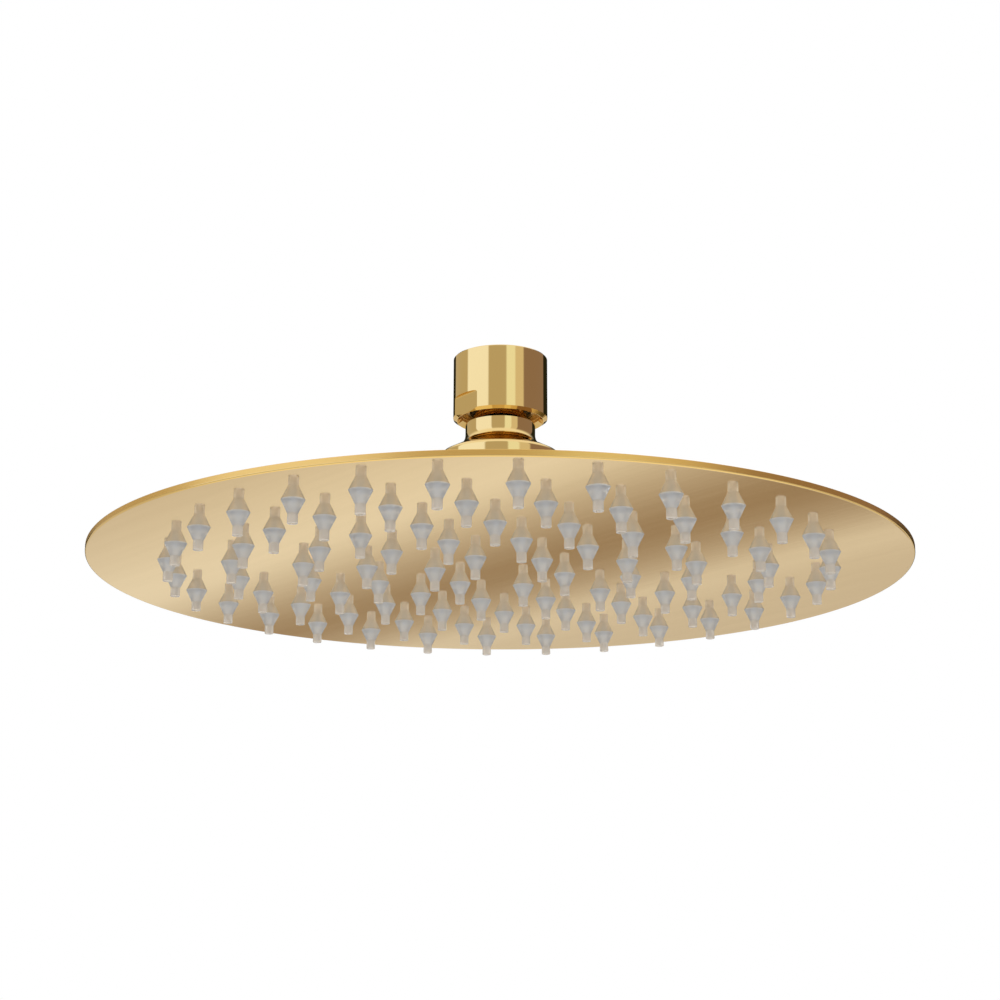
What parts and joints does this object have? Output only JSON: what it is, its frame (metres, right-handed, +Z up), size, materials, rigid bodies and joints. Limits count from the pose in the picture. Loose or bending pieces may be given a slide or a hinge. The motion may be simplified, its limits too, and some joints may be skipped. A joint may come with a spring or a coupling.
{
  "type": "round overhead shower head",
  "caption": "Thin round overhead shower head with soft nozzles on its face, hung from a ball-jointed inlet nut that lets the disc turn and tilt.",
  "frame": {"origin": "middle of the inlet's mouth, on the nut's top face", "axes": "+Z up, out of the inlet's mouth, with the disc hanging below; +X along a line of nozzles; the nut's flats face +Y and -Y"},
  "size_m": [0.2, 0.2, 0.0603],
  "materials": {
    "polished_gold": "polished",
    "gold_sheet": "polished, gold coated",
    "brushed_gold_sheet": "brushed in straight lines, gold coated",
    "clear_silicone": "translucent, satin",
    "white_plastic": "satin",
    "black_plastic": "satin",
    "black_rubber": "matte",
    "plain_steel": "plain"
  },
  "bodies": {
    "connector": {"swivel_nut": "polished_gold", "inlet_washer": "black_rubber", "seat_ring": "white_plastic", "ball_seal": "black_rubber"},
    "swivel": {"slip_ring": "black_plastic"},
    "head": {"ball_stud": "polished_gold", "stud_seal": "black_rubber", "regulator_body": "white_plastic", "regulator_ring": "black_rubber", "filter_screen": "plain_steel", "boss": "polished_gold", "back_cover": "gold_sheet", "face_plate": "brushed_gold_sheet", "stays": "plain_steel", "nozzle_ring_1": "clear_silicone", "nozzle_ring_2": "clear_silicone", "nozzle_ring_3": "clear_silicone", "nozzle_ring_4": "clear_silicone", "nozzle_ring_5": "clear_silicone"}
  },
  "joints": [
    {"name": "head_turn", "type": "hinge", "parent": "connector", "child": "swivel", "pos_m": [0, 0, -0.0102], "axis": [0, 0, 1], "continuous": true},
    {"name": "head_tilt", "type": "hinge", "parent": "swivel", "child": "head", "pos_m": [0, 0, -0.0102], "axis": [1, 0, 0], "range_deg": [-10, 10]}
  ]
}
